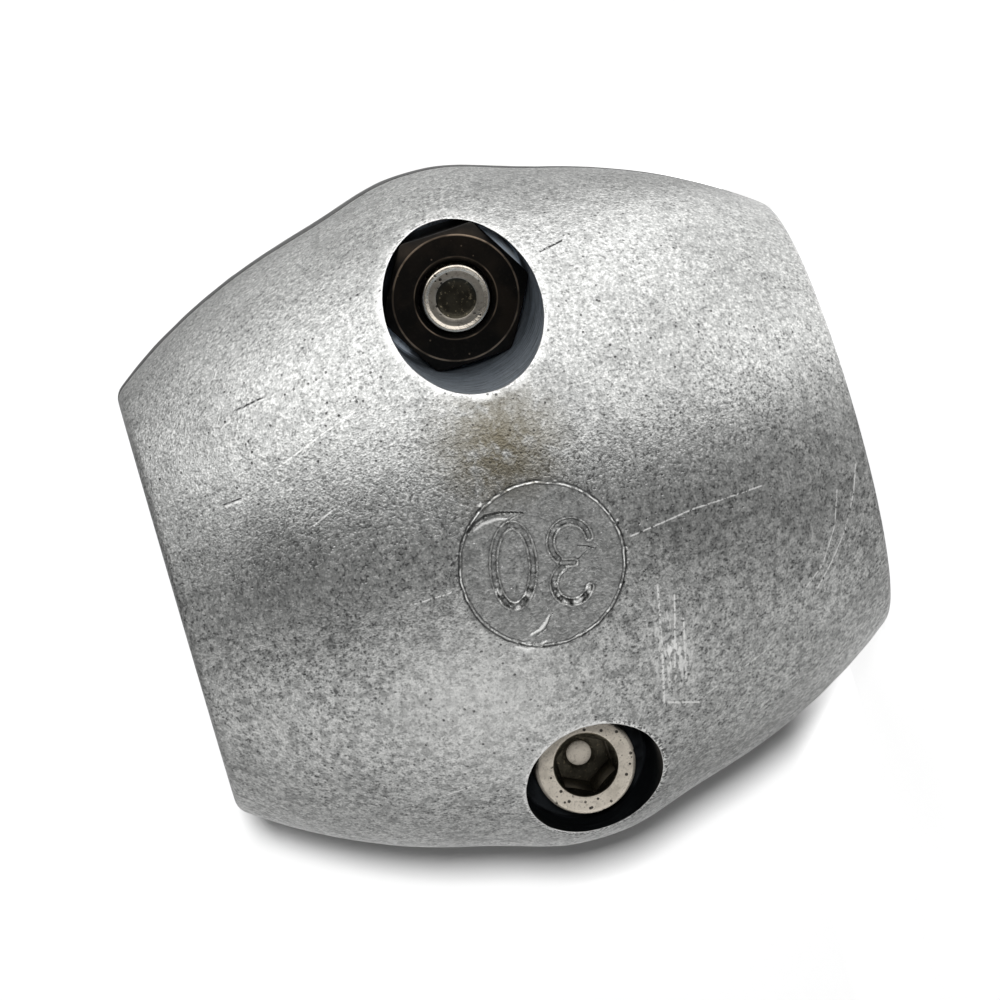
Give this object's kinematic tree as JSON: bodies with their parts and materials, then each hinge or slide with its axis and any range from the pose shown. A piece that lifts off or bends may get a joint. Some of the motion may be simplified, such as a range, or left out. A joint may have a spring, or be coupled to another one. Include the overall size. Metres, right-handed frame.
{
  "type": "sacrificial anode",
  "caption": "Barrel-shaped zinc anode in half shells that clamp round a propeller shaft with socket screws and nuts sunk in deep pockets.",
  "frame": {"origin": "centre of the lower end face, on the shaft's axis, where the anode stands", "axes": "+Z along the shaft's axis; X through both screws; the shells part on the plane Y = 0 and the front shell faces -Y"},
  "size_m": [0.067, 0.063, 0.0655],
  "materials": {
    "cast_zinc": "satin",
    "screw_steel": "satin",
    "dark_nut": "satin"
  },
  "bodies": {
    "root": {"front_half_shell": "cast_zinc", "back_half_shell": "cast_zinc", "front_socket_screw": "screw_steel", "back_socket_screw": "screw_steel", "front_hex_nut": "dark_nut", "back_hex_nut": "dark_nut"}
  },
  "joints": []
}
